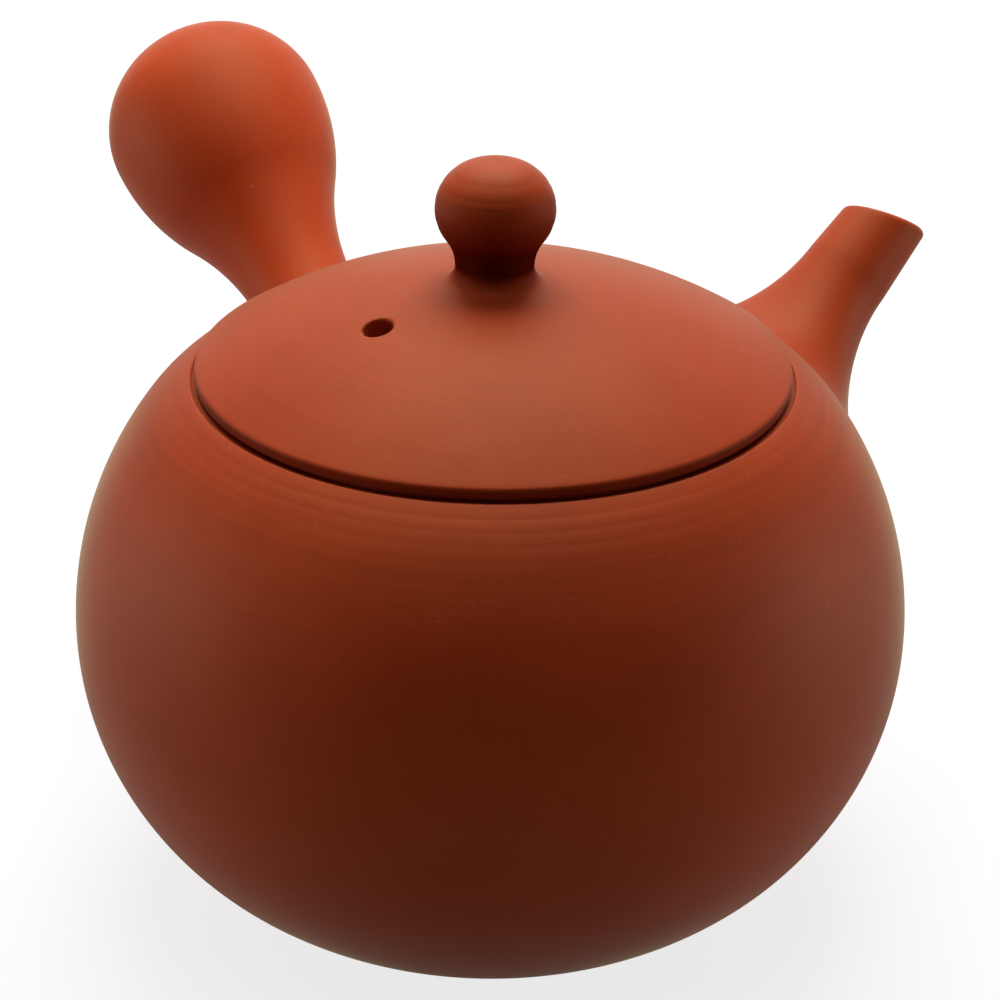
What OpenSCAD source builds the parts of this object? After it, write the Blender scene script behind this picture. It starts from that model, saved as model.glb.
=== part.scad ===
// Round side-handle teapot in unglazed clay: a thrown body with a luted spout, a bulb handle,
// a perforated strainer dome inside the pouring hole, and a domed lid with a ball knob.
// The origin is the centre of the base, the spout points along +X, and +Z is up.

/* [Body] */
// Widest diameter of the body
body_d = 110; // [100:1:125]
// Height of the widest point above the base
belly_z = 38; // [34:0.5:40]
// Radius of the wall's curve above the widest point
shoulder_r = 47; // [42:0.5:50]
// Radius of the wall's tighter curve below the lip
rim_r = 24; // [16:0.5:30]
// Rise of the wall's normal above level at the lip, in degrees
rim_rise = 58; // [54:1:66]
// Radius of the wall's curve below the widest point
hip_r = 42; // [41:0.5:46]
// Height of the lip above the base
lip_z = 72; // [66:0.5:74]
// Width of the lip's flat ring
lip_w = 5.2; // [4.5:0.1:7]
// Height of the straight mouth below the lip
mouth_h = 1.5; // [1:0.1:3]
// Thickness of the wall
wall = 3.5; // [2.5:0.1:4.5]
// Thickness of the floor
floor_t = 4; // [3:0.5:7]

/* [Spout] */
// Depth below the lip at which the spout's axis leaves the wall
spout_drop = 16.2; // [14:0.1:22]
// Rise of the spout's axis above level, in degrees
spout_tilt = 38.4; // [30:0.2:45]
// Length of the spout from the wall to the tip, along its axis
spout_len = 30.4; // [26:0.1:40]
// Outer diameter at the tip
spout_tip_d = 11.5; // [10:0.1:14]
// Widening of the spout towards the root, in degrees
spout_taper = 3.6; // [1:0.1:5]
// Thickness of the spout's wall at the tip
spout_wall = 1.8; // [1.4:0.1:2.2]
// Rise of the tip opening's normal above level, in degrees
spout_cut = 55; // [40:1:65]
// Turn of the tip opening towards the handle's side, in degrees
spout_cut_turn = 8.5; // [-12:0.5:12]
// Distance from the wall at which the spout starts to widen into its root
spout_flare_len = 20.5; // [12:0.5:22]
// Diameter of the root where it blends into the body, at the sides and below
spout_root_d = 61; // [30:0.5:64]
// Distance kept between the root and the lip, along the wall
spout_lip_gap = 6.2; // [3:0.1:8]
// Diameter of the pouring hole in the body's wall
pour_d = 13; // [11:0.5:15]

/* [Handle] */
// Angle from the spout to the handle, seen from above, in degrees
handle_turn = 78; // [70:1:110]
// Depth below the lip at which the handle's axis leaves the wall
handle_drop = 11.8; // [9:0.1:18]
// Rise of the handle's axis above level, in degrees
handle_tilt = 30.6; // [22:0.2:34]
// Length of the handle from the wall to its end, along its axis
handle_len = 53.8; // [48:0.2:70]
// Distance from the wall to the narrowest place
handle_neck_len = 4; // [3:0.1:6]
// Diameter at the narrowest place
handle_neck_d = 14.8; // [13:0.1:18]
// Radius of the curve from the narrowest place to the bulb
handle_neck_r = 40; // [25:1:44]
// Distance from the wall to the widest place of the bulb
handle_bulb_len = 38.8; // [36:0.1:44]
// Diameter of the bulb
handle_bulb_d = 32.4; // [28:0.2:36]
// Width of the fillet at the root
handle_root_r = 6.6; // [5:0.1:9]
// Distance kept between the root and the lip, along the wall
handle_lip_gap = 1.5; // [1:0.1:4]
// Thickness of the handle's wall
handle_wall = 3; // [2:0.1:4]
// Diameter of the air vent on the underside
vent_d = 2.5; // [2:0.1:4]

/* [Strainer] */
// Outer radius of the strainer's dome
strainer_r = 13; // [11:0.5:15]
// Thickness of the strainer's dome
strainer_t = 1.8; // [1.4:0.1:2.4]
// Diameter of a strainer hole
strainer_hole_d = 1.7; // [1.2:0.1:2]
// Number of rings of holes round the middle one
strainer_rings = 4; // [2:1:4]
// Angle between neighbouring rings of holes, seen from the dome's centre
strainer_step = 14.5; // [12:0.5:15]

/* [Lid] */
// Gap between the lip and the lid that sits on it
seat_gap = 0.2; // [0.1:0.05:0.5]
// Distance that the lid's edge stays inside the lip's edge
lid_inset = 0.5; // [0:0.1:1.5]
// Height of the lid's straight edge
lid_edge_h = 1.4; // [1:0.1:3]
// Height of the dome above the edge
dome_h = 11.5; // [8:0.5:16]
// Thickness of the dome
lid_t = 3.2; // [2.5:0.1:4.5]
// Gap between the mouth and the flange that hangs in it
flange_gap = 0.6; // [0.3:0.1:1.2]
// Thickness of the flange
flange_t = 2.6; // [2:0.1:4]
// Depth of the flange below the lip
flange_h = 8; // [5:0.5:11]
// Diameter of the steam hole
steam_d = 4; // [2.5:0.1:5]
// Distance of the steam hole from the lid's axis
steam_off = 18.2; // [15:0.1:24]
// Angle from the spout to the steam hole, in degrees
steam_turn = 175.3; // [0:0.1:359]

/* [Knob] */
// Widest diameter of the knob's ball
knob_d = 15.4; // [12:0.1:20]
// Height of the knob's ball
knob_ball_h = 12.4; // [11:0.1:16]
// Height of the knob's top above the dome
knob_h = 15.6; // [14.5:0.1:20]
// Diameter of the neck
neck_d = 10.1; // [8:0.1:11]
// Height of the neck's narrowest place above the dome
neck_h = 1.7; // [1.6:0.1:3]

/* [Hidden] */
$fn = 96;
clay = [0.66, 0.30, 0.20];
dark_clay = [0.58, 0.25, 0.16];
// Overlap that lets a cut run clear of a face
over = 1;

// Body: the wall's two main curves are circles round points on the belly's level
shoulder_x = body_d / 2 - shoulder_r;
hip_x = body_d / 2 - hip_r;
// Rim: the shoulder runs into a smaller round without a corner, which ends at the lip
rim_lift = lip_z - rim_r * sin(rim_rise) - belly_z;
rim_turn = asin(min(1, rim_lift / (shoulder_r - rim_r)));
rim_x = shoulder_x + (shoulder_r - rim_r) * cos(rim_turn);
rim_z = belly_z + (shoulder_r - rim_r) * sin(rim_turn);
lip_r = wall_radius(lip_z);
mouth_r = lip_r - lip_w;

// Lid: one sphere through the edge and the apex
lid_r = lip_r - lid_inset;
seat_z = lip_z + seat_gap;
edge_z = seat_z + lid_edge_h;
apex_z = edge_z + dome_h;
dome_r = (lid_r ^ 2 + dome_h ^ 2) / (2 * dome_h);
dome_z = apex_z - dome_r;
flange_r = mouth_r - flange_gap;

// Spout: a frame with its axis, the direction above it and the sideways direction
spout_z = lip_z - spout_drop;
spout_exit = [wall_radius(spout_z), 0, spout_z];
spout_axis = [cos(spout_tilt), 0, sin(spout_tilt)];
spout_up = [-sin(spout_tilt), 0, cos(spout_tilt)];
spout_side = [0, 1, 0];
spout_sides = 40;
// Pull of the root's blend along the tube and along the wall, as shares of its span
spout_tube_pull = 0.28;
spout_wall_pull = 0.38;
// Reach of the root above the axis, where the lip limits it
spout_root_top = min(spout_root_d / 2, lip_reach(spout_z, spout_tilt, spout_lip_gap));
// How narrowly that shorter reach keeps to the root's top
spout_root_focus = 1.8;
spout_lip_r = spout_wall / 2;

// Handle: the arc from the neck meets the back of the bulb without a corner
handle_neck_x = handle_neck_d / 2;
handle_bulb_x = handle_bulb_d / 2;
handle_swell = handle_bulb_x - handle_neck_x;
handle_run = handle_bulb_len - handle_neck_len;
handle_back_r = (handle_run ^ 2 + handle_swell ^ 2) / (2 * handle_swell) - handle_neck_r;
handle_z = lip_z - handle_drop;
handle_exit = [wall_radius(handle_z), 0, handle_z];
handle_axis = [cos(handle_tilt), 0, sin(handle_tilt)];
handle_up = [-sin(handle_tilt), 0, cos(handle_tilt)];
handle_side = [0, 1, 0];
// The lip limits the root's fillet, and the root's rim dips under the wall all the way round
handle_root_x = min(handle_neck_x + handle_root_r, lip_reach(handle_z, handle_tilt, handle_lip_gap));
handle_root_dip = 0.4;
handle_root_rim = [for (a = [0:10:350])
    handle_exit + handle_root_x * (cos(a) * handle_up + sin(a) * handle_side)];
handle_root_z = -handle_root_dip - max([for (p = handle_root_rim) wall_depth(p, handle_axis)]);
// How far the handle's profile runs into the body before it is cut to the wall
handle_sink = over - handle_root_z;
// How far the fillet under the knob dips below the dome's surface
knob_sink = 0.15;

// Height at which the shoulder runs into the rim, with the wall moved inwards
function rim_start(inset) = belly_z + (shoulder_r - inset) * sin(rim_turn);

// Outer radius of the body at a height above the belly
function wall_radius(z) =
    z > rim_start(0) ? rim_x + sqrt(rim_r ^ 2 - (z - rim_z) ^ 2) :
    shoulder_x + sqrt(shoulder_r ^ 2 - (z - belly_z) ^ 2);

// Unit vector along v
function unit(v) = v / norm(v);

// Centre and radius of the wall's curve nearest to p, on the shoulder or on the rim
function wall_bend(p) =
    let (turn = atan2(p.z - belly_z, norm([p.x, p.y]) - shoulder_x))
    turn > rim_turn ? [rim_x, rim_z, rim_r] : [shoulder_x, belly_z, shoulder_r];

// Outward normal of the wall at the place nearest to p
function wall_normal(p) =
    let (q = norm([p.x, p.y]), bend = wall_bend(p), dx = q - bend[0], dz = p.z - bend[1])
    unit([dx * p.x / q, dx * p.y / q, dz]);

// Point of the wall's surface nearest to p
function on_wall(p) =
    let (q = norm([p.x, p.y]), bend = wall_bend(p), ring = [p.x, p.y, 0] * bend[0] / q + [0, 0, bend[1]])
    ring + bend[2] * wall_normal(p);

// Depth of the wall's surface below p, along a limb's axis
function wall_depth(p, axis) =
    let (normal = wall_normal(p))
    (p - on_wall(p)) * normal / (axis * normal);

// Angle in degrees that a length takes up on a round
function turn_of(length, r) = length / r * 180 / PI;

// Reach across a limb's axis, from the height where it leaves the wall up to a gap below the lip
function lip_reach(z, tilt, gap) =
    let (lip_turn = asin((lip_z - rim_z) / rim_r),
         rim_len = rim_r * max(0, lip_turn - rim_turn) * PI / 180,
         top_turn = min(rim_turn, asin((lip_z - belly_z) / shoulder_r)),
         stop = gap < rim_len ? lip_turn - turn_of(gap, rim_r) :
             top_turn - turn_of(gap - rim_len, shoulder_r),
         centre = gap < rim_len ? [rim_x, rim_z] : [shoulder_x, belly_z],
         start = [wall_radius(z), z] - centre)
    (start.x * sin(stop) - start.y * cos(stop)) / cos(stop - tilt);

// Points of an arc round c from angle a to angle b
function arc(c, r, a, b, steps = 16) =
    [for (i = [0:steps]) let (t = a + (b - a) * i / steps) c + r * [cos(t), sin(t)]];

// Point of a cubic curve with end points p, s and inner points q, r
function curve(p, q, r, s, k) =
    (1 - k) ^ 3 * p + 3 * k * (1 - k) ^ 2 * q + 3 * k ^ 2 * (1 - k) * r + k ^ 3 * s;

// Area of the pot's outline, moved inwards from the outer wall
module wall_area(inset) {
    intersection() {
        union() {
            translate([rim_x, rim_z]) circle(r = rim_r - inset);
            square([rim_x, lip_z]);
        }
        translate([0, rim_start(inset)]) square([body_d, lip_z]);
    }
    intersection() {
        translate([shoulder_x, belly_z]) circle(r = shoulder_r - inset);
        translate([0, belly_z]) square([body_d, rim_start(inset) - belly_z]);
    }
    intersection() {
        translate([hip_x, belly_z]) circle(r = hip_r - inset);
        square([body_d, belly_z]);
    }
}

// Outline of the body without its hollow, from the base to the lip
module body_area() {
    intersection() {
        wall_area(0);
        square([body_d, lip_z]);
    }
}

// Outline of the hollow: the wall's curve, the floor and the straight mouth
module hollow_area() {
    intersection() {
        wall_area(wall);
        translate([0, floor_t]) square([body_d, lip_z - mouth_h - floor_t]);
    }
    // Core along the axis, where the wall's curves dip again if the lip is high
    translate([0, floor_t]) square([min(shoulder_x, hip_x), lip_z - floor_t]);
    translate([0, lip_z - mouth_h - over]) square([mouth_r, mouth_h + 2 * over]);
}

module pot_body() {
    color(clay) difference() {
        rotate_extrude() difference() {
            body_area();
            hollow_area();
        }
        // Pouring hole
        translate(spout_exit) rotate([0, 90 - spout_tilt, 0])
            cylinder(d = pour_d, h = 4 * wall, center = true);
    }
}

// Direction across the spout's axis at an angle round it
function spout_across(a) = cos(a) * spout_up + sin(a) * spout_side;

// Outer radius of the spout at a distance from the wall
function spout_radius(t) = spout_tip_d / 2 + (spout_len - t) * tan(spout_taper);

// Distance from the wall to the slanted tip, on the line at an angle round the axis
function spout_end(a) =
    spout_len - spout_lip_r
    - spout_tip_d / 2 * (cos(a) * tan(spout_cut - spout_tilt) + sin(a) * tan(spout_cut_turn));

// Reach of the root across the axis, at an angle round it
function spout_root(a) =
    spout_root_d / 2 - (spout_root_d / 2 - spout_root_top) * ((1 + cos(a)) / 2) ^ spout_root_focus;

function spout_point(t, r, a) = spout_exit + t * spout_axis + r * spout_across(a);

// Point of the root's blend, from the straight tube at k = 0 to the body's wall at k = 1
function spout_blend(a, k) =
    let (top = spout_point(spout_flare_len, spout_radius(spout_flare_len), a),
         foot = on_wall(spout_point(0, spout_root(a), a)),
         normal = wall_normal(foot),
         away = unit(spout_across(a) - (spout_across(a) * normal) * normal),
         span = norm(top - foot))
    curve(top, top - spout_tube_pull * span * spout_axis, foot - spout_wall_pull * span * away, foot, k);

// Ring of points round the spout's axis
function spout_ring(kind, k) = [for (i = [0:spout_sides - 1]) let (a = 360 * i / spout_sides)
    kind == "blend" ? spout_blend(a, 1 - k) :
    kind == "tube" ? let (t = spout_flare_len + (spout_end(a) - spout_flare_len) * k)
        spout_point(t, spout_radius(t), a) :
    kind == "lip" ? spout_point(spout_end(a) + spout_lip_r * sin(180 * k),
        spout_radius(spout_end(a)) - spout_lip_r + spout_lip_r * cos(180 * k), a) :
    kind == "bore" ? let (r = spout_radius(spout_end(a)) - spout_wall)
        spout_point(spout_end(a) * (1 - k), r + (pour_d / 2 - r) * k, a) :
    on_wall(spout_point(0, pour_d / 2 + (spout_root(a) - pour_d / 2) * k, a))];

// Closed tube through a loop of rings
module ring_loop(rings) {
    n = len(rings[0]);
    m = len(rings);
    points = [for (ring = rings) each ring];
    faces = [for (j = [0:m - 1], i = [0:n - 1])
        let (this = j * n, next = (j + 1) % m * n, k = (i + 1) % n)
        each [[this + i, next + k, this + k], [this + i, next + i, next + k]]];
    polyhedron(points, faces);
}

module spout() {
    rings = [
        for (i = [0:9]) spout_ring("blend", i / 10),
        for (i = [0:3]) spout_ring("tube", i / 4),
        for (i = [0:4]) spout_ring("lip", i / 4),
        for (i = [1:3]) spout_ring("bore", i / 4),
        for (i = [0:3]) spout_ring("root", i / 4)
    ];
    color(clay) ring_loop(rings);
}

// Outline of the handle from its root to its end, with the wall taken off its radius
function handle_outline(inset) =
    let (r1 = handle_neck_r + inset, r2 = handle_back_r - inset,
         rise = asin(handle_run / (r1 + r2)))
    concat(
        arc([handle_neck_x - inset + r1, handle_neck_len], r1, 180, 180 - rise),
        arc([handle_bulb_x - inset - r2, handle_bulb_len], r2, -rise, 0),
        [for (i = [1:16]) let (t = 90 * i / 16)
            [(handle_bulb_x - inset) * cos(t),
             handle_bulb_len + (handle_len - inset - handle_bulb_len) * sin(t)]]);

// Places something on the wall where the handle leaves it
module at_handle() {
    rotate([0, 0, handle_turn]) translate(handle_exit) rotate([0, 90 - handle_tilt, 0]) children();
}

module handle() {
    root = [for (t = [0:6:90])
        [handle_root_x - (handle_root_x - handle_neck_x) * sin(t),
         handle_neck_len - (handle_neck_len - handle_root_z) * cos(t)]];
    color(clay) difference() {
        at_handle() rotate_extrude() difference() {
            polygon(concat([[0, -handle_sink], [handle_root_x, -handle_sink]], root, handle_outline(0)));
            polygon(concat([[0, -handle_sink - over], [handle_neck_x - handle_wall, -handle_sink - over]],
                handle_outline(handle_wall)));
        }
        rotate_extrude() body_area();
        // Air vent on the underside, just past the neck
        at_handle() translate([0, 0, handle_neck_len + handle_neck_x]) rotate([0, 90, 0])
            cylinder(d = vent_d, h = handle_bulb_d);
    }
}

module strainer() {
    // The dome's centre lies on the inner face of the wall, behind the pouring hole
    seat = on_wall(spout_exit) - wall * wall_normal(spout_exit);
    lean = acos(wall_normal(spout_exit).z);
    color(dark_clay) difference() {
        intersection() {
            translate(seat) difference() {
                sphere(r = strainer_r);
                sphere(r = strainer_r - strainer_t);
            }
            rotate_extrude() hollow_area();
        }
        translate(seat) rotate([0, lean + 180, 0]) for (ring = [0:strainer_rings]) {
            count = max(1, 6 * ring);
            for (i = [0:count - 1]) rotate([0, ring * strainer_step, 360 * i / count])
                translate([0, 0, strainer_r - strainer_t - over / 2])
                    cylinder(d = strainer_hole_d, h = strainer_t + over);
        }
    }
}

module lid() {
    color(clay) difference() {
        rotate_extrude() {
            // Domed cover down to its seat
            difference() {
                intersection() {
                    translate([0, dome_z]) circle(r = dome_r);
                    translate([0, edge_z]) square([lid_r, dome_h + over]);
                }
                translate([0, dome_z]) circle(r = dome_r - lid_t);
            }
            difference() {
                translate([0, seat_z]) square([lid_r, lid_edge_h]);
                square([flange_r - flange_t, edge_z + over]);
            }
            // Flange that hangs in the mouth
            translate([flange_r - flange_t, lip_z - flange_h]) square([flange_t, flange_h + seat_gap]);
        }
        // Steam hole, square to the dome
        rotate([0, 0, steam_turn]) translate([0, 0, dome_z]) rotate([0, asin(steam_off / dome_r), 0])
            cylinder(d = steam_d, h = dome_r + over);
    }
}

module knob() {
    // The ball's side is a round set off the axis, a hollow curve joins it to the neck,
    // and a fillet widens the neck onto the dome
    tube_r = knob_ball_h / 2;
    tube_x = (knob_d - knob_ball_h) / 2;
    top_z = apex_z + knob_h;
    ball_z = top_z - tube_r;
    neck_z = apex_z + neck_h;
    neck_x = neck_d / 2;
    drop = ball_z - neck_z;
    // Radius at which the hollow curve touches both the neck and the ball
    hollow_r = (drop ^ 2 + (neck_x - tube_x) ^ 2 - tube_r ^ 2) / (2 * (tube_r - neck_x + tube_x));
    meet = atan2(drop, neck_x + hollow_r - tube_x);
    // Radius at which the fillet touches the neck and a dome that lies a little lower
    sunk_r = dome_r - knob_sink;
    rise = neck_h + knob_sink;
    fillet_r = (neck_x ^ 2 + 2 * sunk_r * rise + rise ^ 2) / (2 * (sunk_r - neck_x));
    foot = atan2(sunk_r + rise, neck_x + fillet_r);
    color(clay) rotate_extrude() difference() {
        polygon(concat(
            [[0, dome_z]],
            arc([neck_x + fillet_r, neck_z], fillet_r, 180 + foot, 180, 12),
            arc([neck_x + hollow_r, neck_z], hollow_r, 180, 180 - meet, 12),
            arc([tube_x, ball_z], tube_r, -meet, 90, 24),
            [[0, top_z]]));
        translate([0, dome_z]) circle(r = dome_r);
    }
}

pot_body();
spout();
handle();
strainer();
lid();
knob();
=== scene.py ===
"""Looks of a round side-handle teapot in unglazed red clay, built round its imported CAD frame."""

import math

import bmesh
import bpy
import numpy as np
from mathutils import Matrix, Vector


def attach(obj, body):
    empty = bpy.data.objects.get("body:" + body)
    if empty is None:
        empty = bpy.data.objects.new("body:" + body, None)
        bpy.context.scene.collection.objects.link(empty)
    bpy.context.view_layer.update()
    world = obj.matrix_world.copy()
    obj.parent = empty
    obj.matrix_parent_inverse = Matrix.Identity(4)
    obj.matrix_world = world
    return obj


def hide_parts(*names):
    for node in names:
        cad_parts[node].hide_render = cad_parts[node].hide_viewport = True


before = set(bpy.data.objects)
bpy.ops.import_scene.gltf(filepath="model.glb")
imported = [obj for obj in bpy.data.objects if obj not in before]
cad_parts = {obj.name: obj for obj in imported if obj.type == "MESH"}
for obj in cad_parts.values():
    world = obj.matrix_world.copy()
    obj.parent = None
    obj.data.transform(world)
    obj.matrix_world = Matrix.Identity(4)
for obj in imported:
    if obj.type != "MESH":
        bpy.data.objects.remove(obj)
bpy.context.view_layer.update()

# Sizes are in millimetres, as in the CAD model, and MM turns them into metres
MM = 0.001

# Body
BODY_R = 55.0
BELLY_Z = 38.0
SHOULDER_R = 47.0
RIM_R = 24.0
RIM_RISE = 58.0
HIP_R = 42.0
LIP_Z = 72.0
LIP_W = 5.2
MOUTH_H = 1.5
WALL = 3.5
FLOOR_T = 4.0
# Grooves that the ribbing tool left below the lip: height, depth and half width
RIB_MARKS = (
    (70.87, 0.036, 0.12),
    (69.74, 0.026, 0.12),
    (68.58, 0.028, 0.15),
    (67.03, 0.02, 0.2),
)
# Channel in the lip under the lid's edge: width of the lip outside it, its own width and depth
LIP_EDGE = 0.3
CHANNEL_W = 1.6
CHANNEL_H = 0.4
SHOULDER_X = BODY_R - SHOULDER_R
HIP_X = BODY_R - HIP_R
# Below the lip the shoulder runs into the rim's smaller round
RIM_Z = LIP_Z - RIM_R * math.sin(math.radians(RIM_RISE))
RIM_TURN = math.asin((RIM_Z - BELLY_Z) / (SHOULDER_R - RIM_R))
RIM_X = SHOULDER_X + (SHOULDER_R - RIM_R) * math.cos(RIM_TURN)

# Spout
SPOUT_Z = LIP_Z - 16.2
SPOUT_TILT = 38.4
SPOUT_LEN = 30.4
SPOUT_TIP_R = 5.75
SPOUT_TAPER = 3.6
SPOUT_WALL = 1.8
SPOUT_CUT = 55.0
SPOUT_CUT_TURN = 8.5
SPOUT_FLARE_LEN = 20.5
SPOUT_ROOT_R = 30.5
SPOUT_LIP_GAP = 6.2
SPOUT_ROOT_FOCUS = 1.8
SPOUT_TUBE_PULL = 0.28
SPOUT_WALL_PULL = 0.38
POUR_R = 6.5
POUR_PAST = 4.0
POUR_FLARE = 0.5

# Handle
HANDLE_TURN = 78.0
HANDLE_Z = LIP_Z - 11.8
HANDLE_TILT = 30.6
HANDLE_LEN = 53.8
HANDLE_NECK_LEN = 4.0
HANDLE_NECK_X = 7.4
HANDLE_NECK_R = 40.0
HANDLE_BULB_LEN = 38.8
HANDLE_BULB_X = 16.2
HANDLE_ROOT_R = 6.6
HANDLE_ROOT_DEEP = 2.0
HANDLE_PULL = 0.45
VENT_R = 1.25
VENT_DEEP = 2.5
VENT_PAST = 0.6
VENT_FLARE = 0.3

# Lid
SEAT_Z = LIP_Z + 0.2
LID_INSET = 0.8
LID_EDGE_H = 1.4
DOME_H = 11.5
LID_T = 3.2
FLANGE_GAP = 0.6
FLANGE_T = 2.6
FLANGE_H = 8.0
STEAM_R = 2.0
STEAM_OFF = 18.2
STEAM_TURN = 175.3
STEAM_FLARE = 0.35

# Knob
KNOB_X = 7.7
KNOB_BALL_H = 12.4
KNOB_H = 15.6
KNOB_FOOT_DIP = 1.0
NECK_X = 5.05
NECK_H = 1.7
# Bands that the turning tool left on the ball: height, depth and half width
TURNED_MARKS = (
    (99.1, 0.03, 0.3),
    (97.6, 0.04, 0.25),
    (96.7, 0.03, 0.2),
    (95.2, 0.04, 0.3),
    (92.6, 0.04, 0.35),
)

# How far a luted root dips under the wall that carries it, and how far its hidden underside does
SINK = 0.06
UNDERSIDE_SINK = 4 * SINK

# How softly corners are rounded
BODY_SOFTNESS = 0.14
LID_SOFTNESS = 0.22
KNOB_SOFTNESS = 0.3

# Fineness of the meshes: sides, rings and the steps of profiles, shorter where they bend
TURNED_SIDES = 224
KNOB_SIDES = 128
SPOUT_SIDES = 96
HANDLE_SIDES = 128
HOLE_SIDES = 40
SPOUT_ROOT_RINGS = 48
SPOUT_TUBE_RINGS = 16
SPOUT_LIP_RINGS = 11
SPOUT_BORE_RINGS = 12
SPOUT_UNDERSIDE_RINGS = 8
HANDLE_ROOT_RINGS = 20
HANDLE_CAP_RINGS = 34
HOLE_EDGE_RINGS = 8
BODY_STEP = 0.55
LID_STEP = 0.6
KNOB_STEP = 0.3
CORNER_STEP = 0.1
TURN_PER_STEP = 0.35
SPACING = 0.08
BODY_SPACING = 0.05
DOUBLED = 1e-9

# Faces that meet at more than this many degrees keep a sharp edge
SHARP_ANGLE = 40.0


# Profiles

def arc(centre, radius, start, end, steps):
    """Points of an arc between two angles in degrees."""
    a = np.radians(np.linspace(start, end, steps + 1))
    return np.c_[centre[0] + radius * np.cos(a), centre[1] + radius * np.sin(a)]


def resample(profile, spacing):
    """The same line with even steps."""
    steps = np.linalg.norm(np.diff(profile, axis=0), axis=1)
    s = np.r_[0, np.cumsum(steps)]
    keep = np.r_[True, steps > DOUBLED]
    t = np.linspace(0, s[-1], int(s[-1] / spacing) + 2)
    return np.c_[np.interp(t, s[keep], profile[keep, 0]), np.interp(t, s[keep], profile[keep, 1])]


def soften(profile, radius, spacing=SPACING):
    """Rounds the corners of a profile that starts and ends on the axis, as a wet sponge does."""
    line = resample(profile, spacing)
    reach = int(4 * radius / spacing)
    flip = np.array([-1, 1])
    long = np.concatenate([line[reach:0:-1] * flip, line, line[-2:-reach - 2:-1] * flip])
    k = np.exp(-0.5 * (np.arange(-reach, reach + 1) * spacing / radius) ** 2)
    k /= k.sum()
    out = np.c_[np.convolve(long[:, 0], k, "valid"), np.convolve(long[:, 1], k, "valid")]
    out[[0, -1], 0] = 0
    return out


def thin(line, step):
    """Fewer points, closer together where the line bends."""
    d = np.diff(line, axis=0)
    ds = np.linalg.norm(d, axis=1)
    heading = np.unwrap(np.arctan2(d[:, 1], d[:, 0]))
    bend = np.abs(np.gradient(heading)) / ds
    weight = np.clip(1 / step + bend / TURN_PER_STEP, 1 / step, 1 / CORNER_STEP) * ds
    s = np.r_[0, np.cumsum(weight)]
    t = np.linspace(0, s[-1], int(s[-1]) + 2)
    return np.c_[np.interp(t, s, line[:, 0]), np.interp(t, s, line[:, 1])]


def grooved(line, marks, outside):
    """A profile with shallow grooves pressed into its outer side."""
    d = np.gradient(line, axis=0)
    inwards = np.c_[-d[:, 1], d[:, 0]] / np.linalg.norm(d, axis=1)[:, None]
    inwards *= -np.sign(inwards[:, :1])
    depth = sum(deep * np.exp(-((line[:, 1] - z) / wide) ** 2) for z, deep, wide in marks)
    return line + (outside * depth)[:, None] * inwards


# Meshes

def new_object(name, verts, faces):
    mesh = bpy.data.meshes.new(name)
    places = [tuple(v) for v in np.asarray(verts) * MM]
    mesh.from_pydata(places, [], [tuple(map(int, f)) for f in faces])
    bm = bmesh.new()
    bm.from_mesh(mesh)
    bmesh.ops.recalc_face_normals(bm, faces=bm.faces)
    bm.to_mesh(mesh)
    bm.free()
    piece = bpy.data.objects.new(name, mesh)
    bpy.context.scene.collection.objects.link(piece)
    return piece


def skin(name, rings, start=None, end=None, loop=False):
    """A surface through rings of points, closed by two poles or joined up as a loop."""
    m, n, _ = rings.shape
    verts = list(rings.reshape(-1, 3))
    faces = []
    for j in range(m if loop else m - 1):
        a, b = j * n, (j + 1) % m * n
        faces += [(a + i, a + (i + 1) % n, b + (i + 1) % n, b + i) for i in range(n)]
    for pole, first in ((start, 0), (end, (m - 1) * n)):
        if pole is not None:
            verts.append(pole)
            faces += [(first + i, first + (i + 1) % n, len(verts) - 1) for i in range(n)]
    return new_object(name, verts, faces)


def revolve(name, profile, sides):
    """Turns a profile that starts and ends on the Z axis into a closed surface."""
    a = np.linspace(0, 2 * np.pi, sides, endpoint=False)
    r, z = profile[1:-1, :1], profile[1:-1, 1:]
    rings = np.stack([r * np.cos(a), r * np.sin(a), np.repeat(z, sides, 1)], -1)
    return skin(name, rings, (0, 0, profile[0, 1]), (0, 0, profile[-1, 1]))


def cut(piece, cutter):
    """Takes the cutter's solid out of the piece and deletes the cutter."""
    tool = piece.modifiers.new("cut", "BOOLEAN")
    tool.operation = "DIFFERENCE"
    tool.solver = "EXACT"
    tool.object = cutter
    view = bpy.context.evaluated_depsgraph_get()
    mesh = bpy.data.meshes.new_from_object(piece.evaluated_get(view))
    piece.modifiers.clear()
    old = piece.data
    piece.data = mesh
    bpy.data.meshes.remove(old)
    bpy.data.objects.remove(cutter)


def drill(name, radius, low, high, flare, place):
    """A round cutter along its own Z axis, which widens at both ends to leave soft edges."""
    past = flare * 0.6
    z = np.r_[
        low - flare,
        np.linspace(low - past, low + flare, HOLE_EDGE_RINGS),
        np.linspace(high - flare, high + past, HOLE_EDGE_RINGS),
        high + flare,
    ]
    over = np.maximum(np.maximum(low + flare - z, z - (high - flare)), 0)
    r = radius + flare - np.sqrt(np.maximum(flare ** 2 - np.minimum(over, flare) ** 2, 0))
    profile = np.r_[[[0, z[0]]], np.c_[r, z], [[0, z[-1]]]]
    cutter = revolve(name, profile, HOLE_SIDES)
    cutter.data.transform(place)
    return cutter


# The wall as a surface that roots are luted to

def wall_radius(z):
    if z > BELLY_Z + SHOULDER_R * math.sin(RIM_TURN):
        return RIM_X + math.sqrt(RIM_R ** 2 - (z - RIM_Z) ** 2)
    return SHOULDER_X + math.sqrt(SHOULDER_R ** 2 - (z - BELLY_Z) ** 2)


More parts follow.
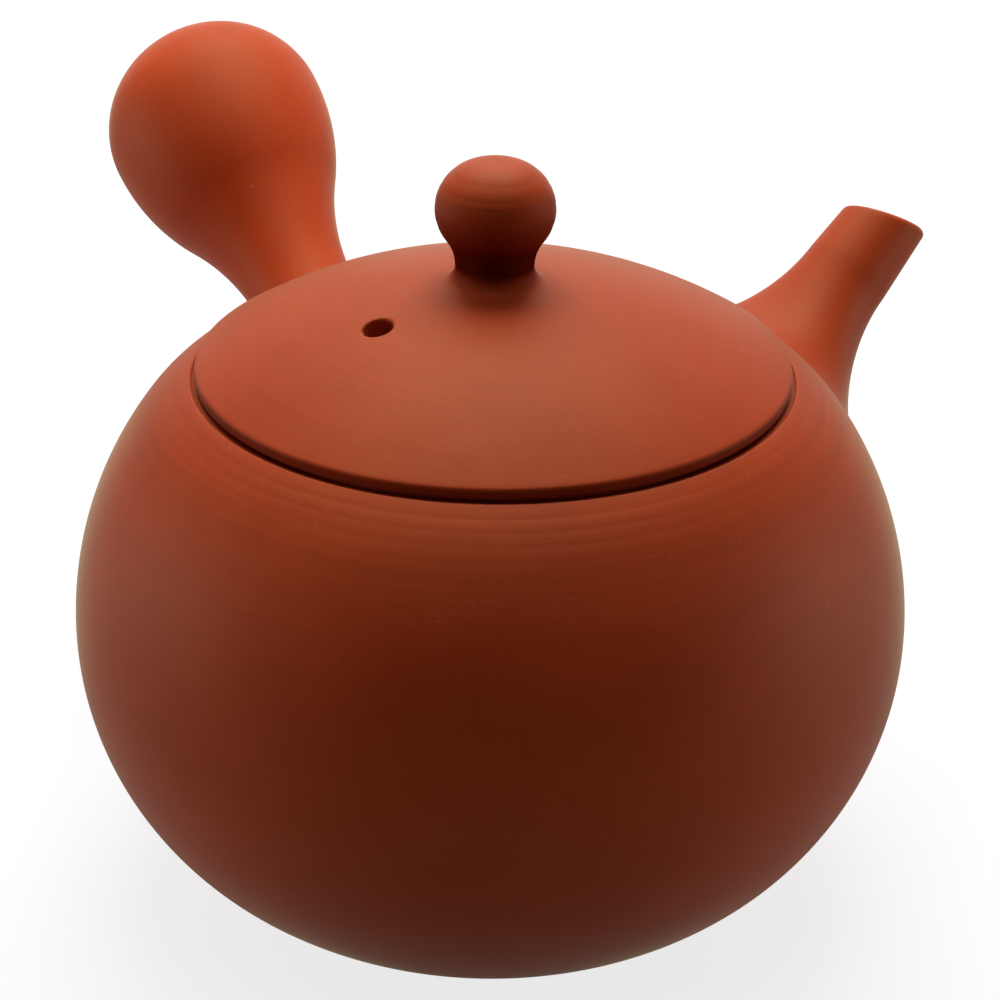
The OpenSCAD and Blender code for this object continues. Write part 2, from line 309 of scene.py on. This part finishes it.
def wall_bend(p):
    """Each point's distance from the axis, and the centre and radius of the wall's curve near it.

    That curve is the shoulder or the rim.
    """
    q = np.linalg.norm(p[..., :2], axis=-1, keepdims=True)
    on_rim = np.arctan2(p[..., 2:] - BELLY_Z, q - SHOULDER_X) > RIM_TURN
    x = np.where(on_rim, RIM_X, SHOULDER_X)
    z = np.where(on_rim, RIM_Z, BELLY_Z)
    return q, x, z, np.where(on_rim, RIM_R, SHOULDER_R)


def wall_normal(p):
    q, x, z, _ = wall_bend(p)
    n = np.concatenate([(q - x) * p[..., :2] / q, p[..., 2:] - z], -1)
    return n / np.linalg.norm(n, axis=-1, keepdims=True)


def on_wall(p):
    q, x, z, r = wall_bend(p)
    return np.concatenate([p[..., :2] * x / q, z], -1) + r * wall_normal(p)


def lip_reach(z, tilt, gap):
    """Reach across a limb's axis, from where it leaves the wall up to a gap below the lip."""
    stop = math.radians(RIM_RISE) - gap / RIM_R
    x, y = wall_radius(z) - RIM_X, z - RIM_Z
    return (x * math.sin(stop) - y * math.cos(stop)) / math.cos(stop - math.radians(tilt))


class Limb:
    """A piece that stands out of the wall: its axis, and directions across it."""

    def __init__(self, turn, tilt, z, sides):
        a, e = math.radians(turn), math.radians(tilt)
        out = np.array([math.cos(a), math.sin(a), 0])
        up = np.array([0, 0, 1.0])
        side = np.array([-math.sin(a), math.cos(a), 0])
        self.exit = wall_radius(z) * out + z * up
        self.axis = math.cos(e) * out + math.sin(e) * up
        self.above = -math.sin(e) * out + math.cos(e) * up
        self.angles = np.linspace(0, 2 * np.pi, sides, endpoint=False)
        self.across = (np.cos(self.angles)[:, None] * self.above
                       + np.sin(self.angles)[:, None] * side)

    def ring(self, along, radius):
        along = np.broadcast_to(along, self.angles.shape)
        radius = np.broadcast_to(radius, self.angles.shape)
        return self.exit + along[:, None] * self.axis + radius[:, None] * self.across

    def blend(self, along, radius, root_r, tube_pull, wall_pull, steps):
        """Rings from the wall, which they leave without a corner, up to a ring of the limb."""
        top = self.ring(along, radius)
        foot = on_wall(self.ring(0, root_r))
        normal = wall_normal(foot)
        foot = foot - SINK * normal
        away = self.across - (self.across * normal).sum(-1, keepdims=True) * normal
        away /= np.linalg.norm(away, axis=-1, keepdims=True)
        span = np.linalg.norm(top - foot, axis=-1, keepdims=True)
        p, q = foot, foot - wall_pull * span * away
        r, s = top - tube_pull * span * self.axis, top
        return [(1 - k) ** 3 * p + 3 * k * (1 - k) ** 2 * q + 3 * k ** 2 * (1 - k) * r + k ** 3 * s
                for k in np.linspace(0, 1, steps, endpoint=False)]


# Pieces

def make_body():
    lip_r = wall_radius(LIP_Z)
    mouth_r = lip_r - LIP_W
    channel_r = lip_r - LIP_EDGE
    channel_z = LIP_Z - CHANNEL_H
    base_angle = -math.degrees(math.asin(BELLY_Z / HIP_R))
    rim_angle = math.degrees(RIM_TURN)
    inner_lip_z = LIP_Z - MOUTH_H
    inner_top = math.degrees(math.asin((inner_lip_z - RIM_Z) / (RIM_R - WALL)))
    inner_low = -math.degrees(math.asin((BELLY_Z - FLOOR_T) / (HIP_R - WALL)))
    profile = np.concatenate([
        [[0, 0]],
        arc((HIP_X, BELLY_Z), HIP_R, base_angle, 0, steps=120),
        arc((SHOULDER_X, BELLY_Z), SHOULDER_R, 0, rim_angle, steps=100),
        arc((RIM_X, RIM_Z), RIM_R, rim_angle, RIM_RISE, steps=40),
        [[channel_r, LIP_Z], [channel_r, channel_z]],
        [[channel_r - CHANNEL_W, channel_z], [channel_r - CHANNEL_W, LIP_Z]],
        [[mouth_r, LIP_Z], [mouth_r, inner_lip_z]],
        arc((RIM_X, RIM_Z), RIM_R - WALL, inner_top, rim_angle, steps=40),
        arc((SHOULDER_X, BELLY_Z), SHOULDER_R - WALL, rim_angle, 0, steps=100),
        arc((HIP_X, BELLY_Z), HIP_R - WALL, 0, inner_low, steps=120),
        [[0, FLOOR_T]],
    ])
    line = soften(profile, BODY_SOFTNESS, BODY_SPACING)
    line = grooved(line, RIB_MARKS, np.arange(len(line)) < np.argmax(line[:, 1]))
    body = revolve("pot_body_clay", thin(line, BODY_STEP), TURNED_SIDES)
    spout = Limb(0, SPOUT_TILT, SPOUT_Z, HOLE_SIDES)
    lean = Matrix.Rotation(math.radians(90 - SPOUT_TILT), 4, "Y")
    place = Matrix.Translation(Vector(spout.exit) * MM) @ lean
    low, high = -WALL - POUR_PAST, WALL + POUR_PAST
    cut(body, drill("pour_cutter", POUR_R, low, high, POUR_FLARE, place))
    return body


def make_spout():
    limb = Limb(0, SPOUT_TILT, SPOUT_Z, SPOUT_SIDES)
    slope = math.tan(math.radians(SPOUT_TAPER))
    radius = lambda t: SPOUT_TIP_R + (SPOUT_LEN - t) * slope
    lip = SPOUT_WALL / 2
    lean = np.cos(limb.angles) * math.tan(math.radians(SPOUT_CUT - SPOUT_TILT))
    lean += np.sin(limb.angles) * math.tan(math.radians(SPOUT_CUT_TURN))
    end = SPOUT_LEN - lip - SPOUT_TIP_R * lean
    # The root reaches less far above, where it stays short of the lip
    short = SPOUT_ROOT_R - lip_reach(SPOUT_Z, SPOUT_TILT, SPOUT_LIP_GAP)
    root = SPOUT_ROOT_R - short * ((1 + np.cos(limb.angles)) / 2) ** SPOUT_ROOT_FOCUS
    rings = limb.blend(SPOUT_FLARE_LEN, radius(SPOUT_FLARE_LEN), root,
                       SPOUT_TUBE_PULL, SPOUT_WALL_PULL, SPOUT_ROOT_RINGS)
    for k in np.linspace(0, 1, SPOUT_TUBE_RINGS, endpoint=False):
        t = SPOUT_FLARE_LEN + (end - SPOUT_FLARE_LEN) * k
        rings.append(limb.ring(t, radius(t)))
    for k in np.linspace(0, np.pi, SPOUT_LIP_RINGS):
        rings.append(limb.ring(end + lip * np.sin(k), radius(end) - lip + lip * np.cos(k)))
    for k in np.linspace(0, 1, SPOUT_BORE_RINGS)[1:]:
        r = radius(end) - SPOUT_WALL
        rings.append(limb.ring(end * (1 - k), r + (POUR_R - r) * k))
    wall_ring = on_wall(limb.ring(0, POUR_R))
    rings[-1] = wall_ring - SINK * wall_normal(wall_ring)
    for k in np.linspace(0, 1, SPOUT_UNDERSIDE_RINGS)[1:-1]:
        p = on_wall(limb.ring(0, POUR_R + (root - POUR_R) * k))
        rings.append(p - UNDERSIDE_SINK * wall_normal(p))
    return skin("spout_clay", np.array(rings), loop=True)


def make_handle():
    limb = Limb(HANDLE_TURN, HANDLE_TILT, HANDLE_Z, HANDLE_SIDES)
    swell = HANDLE_BULB_X - HANDLE_NECK_X
    run = HANDLE_BULB_LEN - HANDLE_NECK_LEN
    back_r = (run ** 2 + swell ** 2) / (2 * swell) - HANDLE_NECK_R
    rise = math.degrees(math.asin(run / (HANDLE_NECK_R + back_r)))
    t = np.radians(np.linspace(0, 90, HANDLE_CAP_RINGS))[1:-1]
    cap_h = HANDLE_LEN - HANDLE_BULB_LEN
    neck_centre = (HANDLE_NECK_X + HANDLE_NECK_R, HANDLE_NECK_LEN)
    line = np.concatenate([
        arc(neck_centre, HANDLE_NECK_R, 180, 180 - rise, steps=30),
        arc((HANDLE_BULB_X - back_r, HANDLE_BULB_LEN), back_r, -rise, 0, steps=30)[1:],
        np.c_[HANDLE_BULB_X * np.cos(t), HANDLE_BULB_LEN + cap_h * np.sin(t)],
    ])
    rings = limb.blend(HANDLE_NECK_LEN, HANDLE_NECK_X, HANDLE_NECK_X + HANDLE_ROOT_R,
                       HANDLE_PULL, HANDLE_PULL, HANDLE_ROOT_RINGS)
    rings += [limb.ring(along, r) for r, along in line]
    foot = limb.exit - HANDLE_ROOT_DEEP * limb.axis
    handle = skin("handle_clay", np.array(rings), foot, limb.exit + HANDLE_LEN * limb.axis)
    # The air vent points down from the neck
    start = limb.exit + (HANDLE_NECK_LEN + HANDLE_NECK_X) * limb.axis
    turn = Vector((0, 0, 1)).rotation_difference(Vector(-limb.above)).to_matrix().to_4x4()
    place = Matrix.Translation(Vector(start) * MM) @ turn
    low, high = HANDLE_NECK_X - VENT_DEEP, HANDLE_NECK_X + VENT_PAST
    cut(handle, drill("vent_cutter", VENT_R, low, high, VENT_FLARE, place))
    return handle


def dome():
    """Radius of the lid's dome, the height of its centre and the radius of the lid."""
    lid_r = wall_radius(LIP_Z) - LID_INSET
    r = (lid_r ** 2 + DOME_H ** 2) / (2 * DOME_H)
    return r, SEAT_Z + LID_EDGE_H + DOME_H - r, lid_r


def make_lid():
    dome_r, dome_z, lid_r = dome()
    flange_r = wall_radius(LIP_Z) - LIP_W - FLANGE_GAP
    flange_z = LIP_Z - FLANGE_H
    inner_r = flange_r - FLANGE_T
    edge = math.degrees(math.asin(lid_r / dome_r))
    inner_edge = math.degrees(math.asin(inner_r / (dome_r - LID_T)))
    profile = np.concatenate([
        arc((0, dome_z), dome_r, 90, 90 - edge, steps=100),
        [[lid_r, SEAT_Z], [flange_r, SEAT_Z], [flange_r, flange_z], [inner_r, flange_z]],
        arc((0, dome_z), dome_r - LID_T, 90 - inner_edge, 90, steps=100),
    ])
    lid = revolve("lid_clay", thin(soften(profile, LID_SOFTNESS), LID_STEP), TURNED_SIDES)
    turn = Matrix.Rotation(math.radians(STEAM_TURN), 4, "Z")
    lean = Matrix.Rotation(math.asin(STEAM_OFF / dome_r), 4, "Y")
    place = turn @ Matrix.Translation((0, 0, dome_z * MM)) @ lean
    cut(lid, drill("steam_cutter", STEAM_R, dome_r - LID_T, dome_r, STEAM_FLARE, place))
    return lid


def make_knob():
    dome_r, dome_z, _ = dome()
    apex = dome_z + dome_r
    tube_r = KNOB_BALL_H / 2
    tube_x = KNOB_X - tube_r
    ball_z = apex + KNOB_H - tube_r
    neck_z = apex + NECK_H
    drop = ball_z - neck_z
    reach = NECK_X - tube_x
    hollow_r = (drop ** 2 + reach ** 2 - tube_r ** 2) / (2 * (tube_r - NECK_X + tube_x))
    meet = math.degrees(math.atan2(drop, NECK_X + hollow_r - tube_x))
    # A fillet joins the neck to the dome: it touches the neck's level and the dome
    fillet = (NECK_H ** 2 + 2 * NECK_H * dome_r + NECK_X ** 2) / (2 * (dome_r - NECK_X))
    foot = math.degrees(math.atan2(neck_z - dome_z, NECK_X + fillet))
    profile = np.concatenate([
        [[0, ball_z + tube_r]],
        arc((tube_x, ball_z), tube_r, 90, -meet, steps=60),
        arc((NECK_X + hollow_r, neck_z), hollow_r, 180 - meet, 180, steps=30),
        arc((NECK_X + fillet, neck_z), fillet, 180, 180 + foot, steps=30),
        [[0, dome_z + (dome_r - KNOB_FOOT_DIP) * math.sin(math.radians(foot))]],
    ])
    line = grooved(soften(profile, KNOB_SOFTNESS), TURNED_MARKS, True)
    return revolve("knob_clay", thin(line, KNOB_STEP), KNOB_SIDES)


# Materials

# Colours of the clay, and the painted shade that darkens it on the knob's neck and lower ball and
# on the lid's edge
CLAY = (0.43, 0.043, 0.0065)
CLAY_DARK = (0.385, 0.036, 0.005)
CLAY_PALE = (0.47, 0.052, 0.009)
CLAY_SPECK = (0.62, 0.30, 0.18)
CLAY_PAINTED_SHADE = (0.24, 0.18, 0.40)
SPECK_SHARE = 0.24
# The handle's clay is painted lighter than the rest, a painted light on the whole handle
HANDLE_PAINTED_LIGHT = 1.25

# A faint sheen and gloss, as clay has where hands have smoothed it
SHEEN = 0.44
SHEEN_TINT = (0.76, 0.86, 0.52, 1)
SHEEN_ROUGHNESS = 0.26
GLOSS = 0.29
GLOSS_TINT = (0.94, 1.0, 0.50, 1)
ROUGH_LOW = 0.52
ROUGH_HIGH = 0.66

# Noises in the clay: scale per metre, detail and roughness
MOTTLE = (38, 4, 0.55)
MARKS = (700, 3, 0.6)
GRAIN = (2600, 2, 0.6)
SPECKS = (1300, 1, 0.4)
# Where those noises change, from 0 to 1, and for the grain how pale it is there
MOTTLE_STOPS = (0.28, 0.5, 0.74)
MARK_STOPS = (0.35, 0.65)
GRAIN_STOPS = ((0.25, 0.92), (0.75, 1.08))
SPECK_STOPS = ((0.775, 0.0), (0.82, 1.0))
# How much the marks vary on their way round, next to how much they do across
RING_STRETCH = 0.02
GRAIN_DEPTH = 0.5
BUMP_STRENGTH = 0.22
BUMP_DISTANCE = 0.00012

# Heights in metres, with how lit the clay is there, from 0 to 1: below 1 shade is painted into it,
# on the knob's neck and lower ball and on the lid's edge
KNOB_PAINTED_SHADE = ((0.0849, 1.0), (0.0872, 0.0), (0.0898, 0.0), (0.0990, 1.0))
LID_EDGE_PAINTED_SHADE = ((0.0716, 1.0), (0.0720, 0.45), (0.0732, 0.45), (0.0738, 1.0))

# The Mix node has a set of sockets for each kind of value: these are the colour's
MIX_IN = (0, 6, 7)
MIX_OUT = 2


def nodes_of(name):
    material = bpy.data.materials.new(name)
    material.use_nodes = True
    tree = material.node_tree
    return material, tree, tree.nodes["Principled BSDF"]


def add(tree, kind, **values):
    node = tree.nodes.new(kind)
    for key, value in values.items():
        setattr(node, key, value)
    return node


def feed(tree, socket, value):
    """Sets a socket to a number or a colour, or links another node's output to it."""
    if isinstance(value, (int, float)):
        socket.default_value = value
    elif isinstance(value, tuple):
        socket.default_value = (*value, 1)
    else:
        tree.links.new(value, socket)


def noise(tree, vector, scale, detail, rough):
    node = add(tree, "ShaderNodeTexNoise")
    node.inputs["Scale"].default_value = scale
    node.inputs["Detail"].default_value = detail
    node.inputs["Roughness"].default_value = rough
    tree.links.new(vector, node.inputs["Vector"])
    return node.outputs["Fac"]


def ramp(tree, value, stops):
    node = add(tree, "ShaderNodeValToRGB")
    while len(node.color_ramp.elements) < len(stops):
        node.color_ramp.elements.new(0.5)
    for element, (place, colour) in zip(node.color_ramp.elements, stops):
        element.position = place
        element.color = (*colour, 1) if isinstance(colour, tuple) else (colour, colour, colour, 1)
    tree.links.new(value, node.inputs["Fac"])
    return node.outputs["Color"]


def map_range(tree, value, low, high, to_low=0.0, to_high=1.0):
    node = add(tree, "ShaderNodeMapRange")
    node.inputs["From Min"].default_value = low
    node.inputs["From Max"].default_value = high
    node.inputs["To Min"].default_value = to_low
    node.inputs["To Max"].default_value = to_high
    tree.links.new(value, node.inputs["Value"])
    return node.outputs[0]


def maths(tree, operation, *values):
    node = add(tree, "ShaderNodeMath", operation=operation)
    for socket, value in zip(node.inputs, values):
        feed(tree, socket, value)
    return node.outputs[0]


def mix(tree, share, a, b, kind="MIX"):
    node = add(tree, "ShaderNodeMix", data_type="RGBA", blend_type=kind)
    for index, value in zip(MIX_IN, (share, a, b)):
        feed(tree, node.inputs[index], value)
    return node.outputs[MIX_OUT]


def turning_marks(tree, x, y, line):
    """Noise drawn out into rings round the Z axis, which follow one another along the line."""
    rings = add(tree, "ShaderNodeCombineXYZ")
    round_x = maths(tree, "MULTIPLY", x, RING_STRETCH)
    round_y = maths(tree, "MULTIPLY", y, RING_STRETCH)
    for socket, value in zip(rings.inputs, (round_x, round_y, line)):
        tree.links.new(value, socket)
    return noise(tree, rings.outputs[0], *MARKS)


def clay(name, turned=None, marks_low=0.0, marks_high=0.0, contrast=0.0, painted_light=1.0, painted_shade=None):
    """Unglazed red clay: mottled colour, turning marks round the axis, fine grain and pale specks.

    Marks turned by "height" follow the height, on steep walls, and marks turned by "radius" follow
    the distance from the axis, on flat ones. They grow from nothing to their full depth between
    two heights in metres. Contrast is how far they darken the colour. The next argument makes
    the whole colour lighter or darker, which paints light onto a whole part.
    The last argument lists heights in metres with how lit the clay is there, from 0 to 1: below 1
    it paints shade into the colour and dims the sheen and gloss with it.
    """
    material, tree, shader = nodes_of(name)
    place = add(tree, "ShaderNodeTexCoord").outputs["Object"]
    split = add(tree, "ShaderNodeSeparateXYZ")
    tree.links.new(place, split.inputs[0])
    x, y, z = split.outputs
    grain = noise(tree, place, *GRAIN)
    height = maths(tree, "MULTIPLY", grain, GRAIN_DEPTH)

    shades = [tuple(painted_light * c for c in shade) for shade in (CLAY_DARK, CLAY, CLAY_PALE)]
    colour = ramp(tree, noise(tree, place, *MOTTLE), list(zip(MOTTLE_STOPS, shades)))
    if turned:
        line = z
        if turned == "radius":
            squares = [maths(tree, "MULTIPLY", c, c) for c in (x, y)]
            line = maths(tree, "SQRT", maths(tree, "ADD", *squares))
        marks = turning_marks(tree, x, y, line)
        depth = map_range(tree, z, marks_low, marks_high)
        bands = ramp(tree, marks, list(zip(MARK_STOPS, (1 - contrast, 1 + contrast / 2))))
        colour = mix(tree, depth, colour, mix(tree, 1.0, colour, bands, "MULTIPLY"))
        height = maths(tree, "ADD", height, maths(tree, "MULTIPLY", marks, depth))
    colour = mix(tree, 1.0, colour, ramp(tree, grain, GRAIN_STOPS), "MULTIPLY")
    specks = ramp(tree, noise(tree, place, *SPECKS), SPECK_STOPS)
    colour = mix(tree, maths(tree, "MULTIPLY", specks, SPECK_SHARE), colour, CLAY_SPECK)

    sheen, gloss = SHEEN, GLOSS
    # Painted shade: below the listed heights the colour is darkened and the sheen and gloss are
    # dimmed, standing in for the shade there
    if painted_shade:
        low, high = painted_shade[0][0], painted_shade[-1][0]
        rise = map_range(tree, z, low, high)
        stops = [((level - low) / (high - low), lit_share) for level, lit_share in painted_shade]
        shade = [(at, tuple(1 - (1 - c) * (1 - lit_share) for c in CLAY_PAINTED_SHADE)) for at, lit_share in stops]
        colour = mix(tree, 1.0, colour, ramp(tree, rise, shade), "MULTIPLY")
        lit_mask = ramp(tree, rise, stops)
        lit_reflection = maths(tree, "MULTIPLY", lit_mask, lit_mask)
        sheen = maths(tree, "MULTIPLY", lit_reflection, SHEEN)
        gloss = maths(tree, "MULTIPLY", lit_reflection, GLOSS)
    tree.links.new(colour, shader.inputs["Base Color"])
    feed(tree, shader.inputs["Sheen Weight"], sheen)
    shader.inputs["Sheen Roughness"].default_value = SHEEN_ROUGHNESS
    shader.inputs["Sheen Tint"].default_value = SHEEN_TINT
    feed(tree, shader.inputs["Specular IOR Level"], gloss)
    shader.inputs["Specular Tint"].default_value = GLOSS_TINT
    rough = map_range(tree, grain, 0.0, 1.0, ROUGH_LOW, ROUGH_HIGH)
    tree.links.new(rough, shader.inputs["Roughness"])

    bump = add(tree, "ShaderNodeBump")
    bump.inputs["Strength"].default_value = BUMP_STRENGTH
    bump.inputs["Distance"].default_value = BUMP_DISTANCE
    tree.links.new(height, bump.inputs["Height"])
    tree.links.new(bump.outputs[0], shader.inputs["Normal"])
    return material


def finish_piece(piece, material, body, node):
    piece.data.shade_smooth()
    piece.data.set_sharp_from_angle(angle=math.radians(SHARP_ANGLE))
    piece.data.materials.clear()
    piece.data.materials.append(material)
    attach(piece, body)
    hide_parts(node)


wall_clay = clay("clay_turned_wall", "height", 0.050, 0.068, contrast=0.09)
# The knob and lid paint shade into their clay: on the knob's neck and lower ball, and on the lid's
# edge
knob_clay = clay("clay_turned_knob_painted_shade", "height", 0.080, 0.090, contrast=0.10, painted_shade=KNOB_PAINTED_SHADE)
lid_clay = clay("clay_turned_lid_painted_shade", "radius", 0.060, 0.074, contrast=0.03, painted_shade=LID_EDGE_PAINTED_SHADE)
hand_clay = clay("clay_hand_smoothed")
# The handle's material paints light onto it by making its clay lighter
handle_clay = clay("clay_hand_smoothed_handle_painted_light", painted_light=HANDLE_PAINTED_LIGHT)

finish_piece(make_body(), wall_clay, "pot", "pot_body")
finish_piece(make_spout(), hand_clay, "pot", "spout")
finish_piece(make_handle(), handle_clay, "pot", "handle")
finish_piece(make_lid(), lid_clay, "cover", "lid")
finish_piece(make_knob(), knob_clay, "cover", "knob")

# The strainer keeps its CAD solid, whose holes are its look
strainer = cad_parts["strainer"]
strainer.data.materials.clear()
strainer.data.materials.append(hand_clay)


# Stage

# The floor lies a hair below the pot and is this many metres wide
FLOOR_SIZE = 4.0
FLOOR_DROP = 0.0002
FLOOR_GREY = 0.24
FLOOR_GLOW = 0.80
# Share of the floor's glow that reflections show
MIRRORED_GLOW = 0.57
FLOOR_ROUGHNESS = 0.9
FLOOR_GLOSS = 0.1
# The world is white to the camera and this dim to the pot
AMBIENT = 0.02


def stage_material(name, grey, glow):
    """A pale floor that still takes shadows.

    Its glow is for the camera and, dimmed, for reflections: it sheds no light on the pot.
    """
    material, tree, shader = nodes_of(name)
    rays = add(tree, "ShaderNodeLightPath").outputs
    seen = maths(tree, "MULTIPLY", rays["Is Glossy Ray"], MIRRORED_GLOW)
    seen = maths(tree, "MAXIMUM", seen, rays["Is Camera Ray"])
    seen = maths(tree, "MAXIMUM", seen, rays["Is Transmission Ray"])
    tree.links.new(maths(tree, "MULTIPLY", seen, glow), shader.inputs["Emission Strength"])
    shader.inputs["Emission Color"].default_value = (1, 1, 1, 1)
    shader.inputs["Base Color"].default_value = (grey, grey, grey, 1)
    shader.inputs["Roughness"].default_value = FLOOR_ROUGHNESS
    shader.inputs["Specular IOR Level"].default_value = FLOOR_GLOSS
    return material


bpy.ops.mesh.primitive_grid_add(x_subdivisions=4, y_subdivisions=4, size=FLOOR_SIZE,
                                location=(0, 0, -FLOOR_DROP))
floor = bpy.context.object
floor.name = "floor"
floor.data.materials.append(stage_material("floor_pale", FLOOR_GREY, FLOOR_GLOW))

world = bpy.data.worlds.new("studio")
bpy.context.scene.world = world
world.use_nodes = True
tree = world.node_tree
rays = add(tree, "ShaderNodeLightPath").outputs
sky = tree.nodes["Background"]
sky.inputs["Strength"].default_value = 1.0
backdrop = mix(tree, rays["Is Camera Ray"], (AMBIENT, AMBIENT, AMBIENT), (1.0, 1.0, 1.0))
tree.links.new(backdrop, sky.inputs["Color"])

# Camera at the photograph's angle: a long lens, a little above the pot
VIEW_TURN = -42.0
VIEW_RISE = 27.75
VIEW_DISTANCE = 420.0
VIEW_LENS = 112.95
VIEW_SENSOR = 36.0
VIEW_NEAR = 10.0
VIEW_AIM_UP = 14.15
VIEW_AIM_RIGHT = 1.1
VIEW_ROLL = 0.8


def view_frame():
    """The camera's directions to the right, up and away, before it is aimed."""
    a, e = math.radians(VIEW_TURN), math.radians(VIEW_RISE)
    right = Vector((math.cos(a), math.sin(a), 0))
    ahead = Vector((-math.sin(a) * math.cos(e), math.cos(a) * math.cos(e), -math.sin(e)))
    return right, right.cross(ahead), ahead


right, up, ahead = view_frame()
belly = Vector((0, 0, BELLY_Z))
lens = bpy.data.cameras.new("camera")
lens.sensor_width = VIEW_SENSOR
lens.lens = VIEW_LENS
lens.clip_start = VIEW_NEAR * MM
camera = bpy.data.objects.new("camera", lens)
bpy.context.scene.collection.objects.link(camera)
bpy.context.scene.camera = camera
spot = belly - ahead * VIEW_DISTANCE
aim = belly + right * VIEW_AIM_RIGHT + up * VIEW_AIM_UP
camera.location = spot * MM
camera.rotation_mode = "QUATERNION"
turn = (aim - spot).to_track_quat("-Z", "Y")
roll = Matrix.Rotation(math.radians(VIEW_ROLL), 3, "Z").to_quaternion()
camera.rotation_quaternion = turn @ roll


# Lights, all soft and white: four from above, a wide one behind and two low ones at the sides

def area_light(name, across, away, height, size, watts):
    """A soft light placed by the camera's directions, in millimetres, and aimed at the belly."""
    data = bpy.data.lights.new(name, "AREA")
    data.shape = "RECTANGLE"
    data.size, data.size_y = size[0] * MM, size[1] * MM
    data.energy = watts
    lamp = bpy.data.objects.new(name, data)
    bpy.context.scene.collection.objects.link(lamp)
    level = Vector((ahead.x, ahead.y, 0)).normalized()
    place = right * across + level * away + Vector((0, 0, height))
    lamp.location = place * MM
    lamp.rotation_mode = "QUATERNION"
    lamp.rotation_quaternion = (belly - place).to_track_quat("-Z", "Y")


area_light("overhead_near", 0, 110, 330, (260, 160), 0.13)
area_light("overhead_front", 0, -200, 520, (300, 200), 0.38)
area_light("overhead_far", 0, 240, 600, (460, 380), 3.1)
area_light("behind", 0, 800, 300, (1400, 600), 2.9)
area_light("high_left", -350, 100, 500, (300, 300), 0.2)
area_light("left_low", -620, 60, 90, (300, 160), 0.92)
area_light("right_low", 620, 60, 90, (300, 160), 0.86)

bpy.context.scene.view_settings.view_transform = "Standard"
